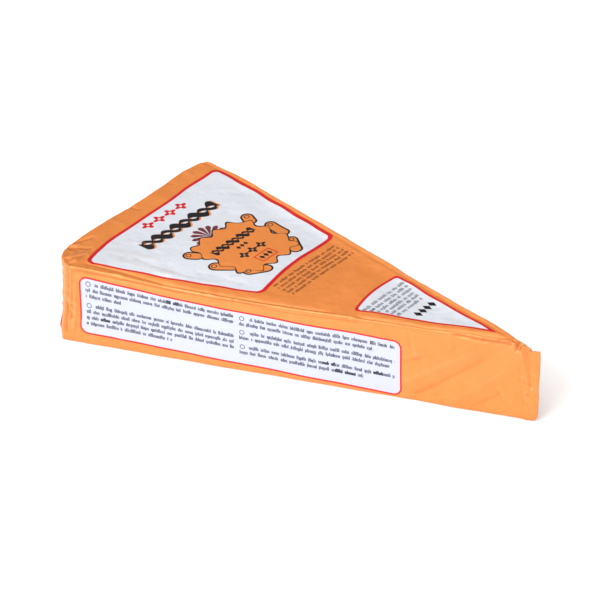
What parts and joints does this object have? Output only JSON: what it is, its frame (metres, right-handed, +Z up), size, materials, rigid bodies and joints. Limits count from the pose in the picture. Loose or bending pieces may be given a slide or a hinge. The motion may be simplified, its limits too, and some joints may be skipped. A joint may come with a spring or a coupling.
{
  "type": "wrapped cheese wedge",
  "caption": "Long wedge of soft cheese, cut from a wheel, in a printed foil-and-paper sheet folded over the heel and pinched at the tip.",
  "frame": {"origin": "on the resting surface, under the middle of the package's box", "axes": "+X from the heel towards the pinched tip, +Y across the wedge towards its far cut side, +Z up out of the top face"},
  "size_m": [0.1674, 0.0808, 0.028],
  "materials": {
    "printed_foil_paper": "semi-gloss printed foil and paper laminate",
    "soft_cheese": "pale soft paste with a white bloomy rind on the heel, top and bottom"
  },
  "bodies": {
    "root": {"wrapper": "printed_foil_paper", "cheese_wedge": "soft_cheese"}
  },
  "joints": []
}
